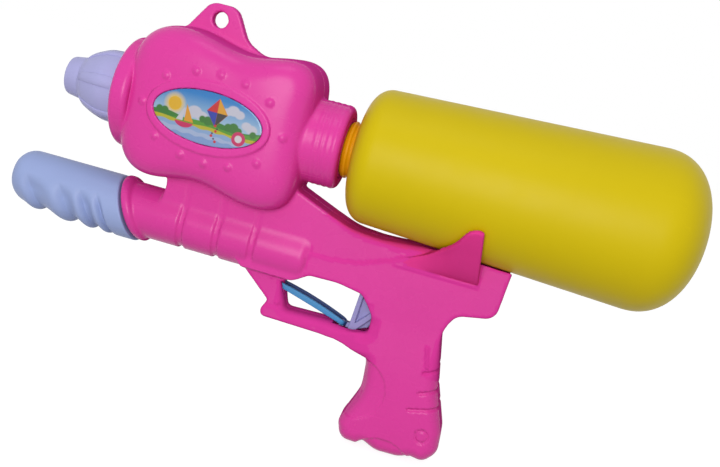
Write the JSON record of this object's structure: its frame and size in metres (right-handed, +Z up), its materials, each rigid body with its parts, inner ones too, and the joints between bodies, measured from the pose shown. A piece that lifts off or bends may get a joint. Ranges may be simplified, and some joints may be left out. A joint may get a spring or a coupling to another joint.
{
  "type": "water squirter",
  "caption": "Hand-held pump-action water squirter: screw-on tank, hand pump under the nozzle, trigger with a rubber return band and a pinched hose as its valve.",
  "frame": {"origin": "middle of the pistol grip, on the parting plane of the two half shells", "axes": "+X from the nozzle towards the tank, along the pump and tank axes; +Z up; +Y to the right side of the user, who looks along -X"},
  "size_m": [0.3827, 0.0874, 0.2206],
  "materials": {
    "shell": "glossy pink moulding",
    "lilac": "satin pale lilac moulding",
    "tank": "satin yellow blow moulding",
    "label": "printed film",
    "band": "blue rubber",
    "seal": "black rubber",
    "inner": "natural white moulding",
    "hose": "soft clear hose",
    "steel": "zinc plated"
  },
  "bodies": {
    "housing": {"left_shell": "shell", "right_shell": "shell", "label_left": "label", "label_right": "label", "nozzle": "lilac", "nozzle_jet": "inner", "outlet_pipe": "inner", "tank_head": "inner", "dip_tube": "hose", "water_hose": "hose", "air_hose": "hose", "pump_cylinder": "inner", "cylinder_cap": "inner", "check_valve": "inner", "trigger_pin": "steel", "trigger_band": "band", "shell_screw_1": "steel", "shell_screw_2": "steel", "shell_screw_3": "steel", "shell_screw_4": "steel", "shell_screw_5": "steel", "shell_screw_6": "steel"},
    "pump": {"pump_handle": "lilac", "pump_rod": "inner", "piston": "inner", "piston_seal": "seal"},
    "trigger": {"trigger": "lilac"},
    "tank_carriage": {"tank_washer": "seal"},
    "tank": {"tank": "tank"}
  },
  "joints": [
    {"name": "pump_slide", "type": "slide", "parent": "housing", "child": "pump", "axis": [-1, 0, 0], "range_m": [0, 0.05]},
    {"name": "trigger_pull", "type": "hinge", "parent": "housing", "child": "trigger", "pos_m": [-0.024, 0, 0.073], "axis": [0, -1, 0], "range_deg": [0, 12], "stiffness_Nm_per_rad": 0.5, "springref_deg": -17.19, "deforming": ["trigger_band"]},
    {"name": "tank_unscrew_slide", "type": "slide", "parent": "housing", "child": "tank_carriage", "axis": [1, 0, 0], "range_m": [0, 0.0081]},
    {"name": "tank_turn", "type": "hinge", "parent": "tank_carriage", "child": "tank", "pos_m": [-0.0629, 0, 0.129], "axis": [1, 0, 0], "range_deg": [0, 720]}
  ],
  "couplings": [
    {"joint": "tank_unscrew_slide", "follows": "tank_turn", "m_per_rad": 0.00063662}
  ]
}
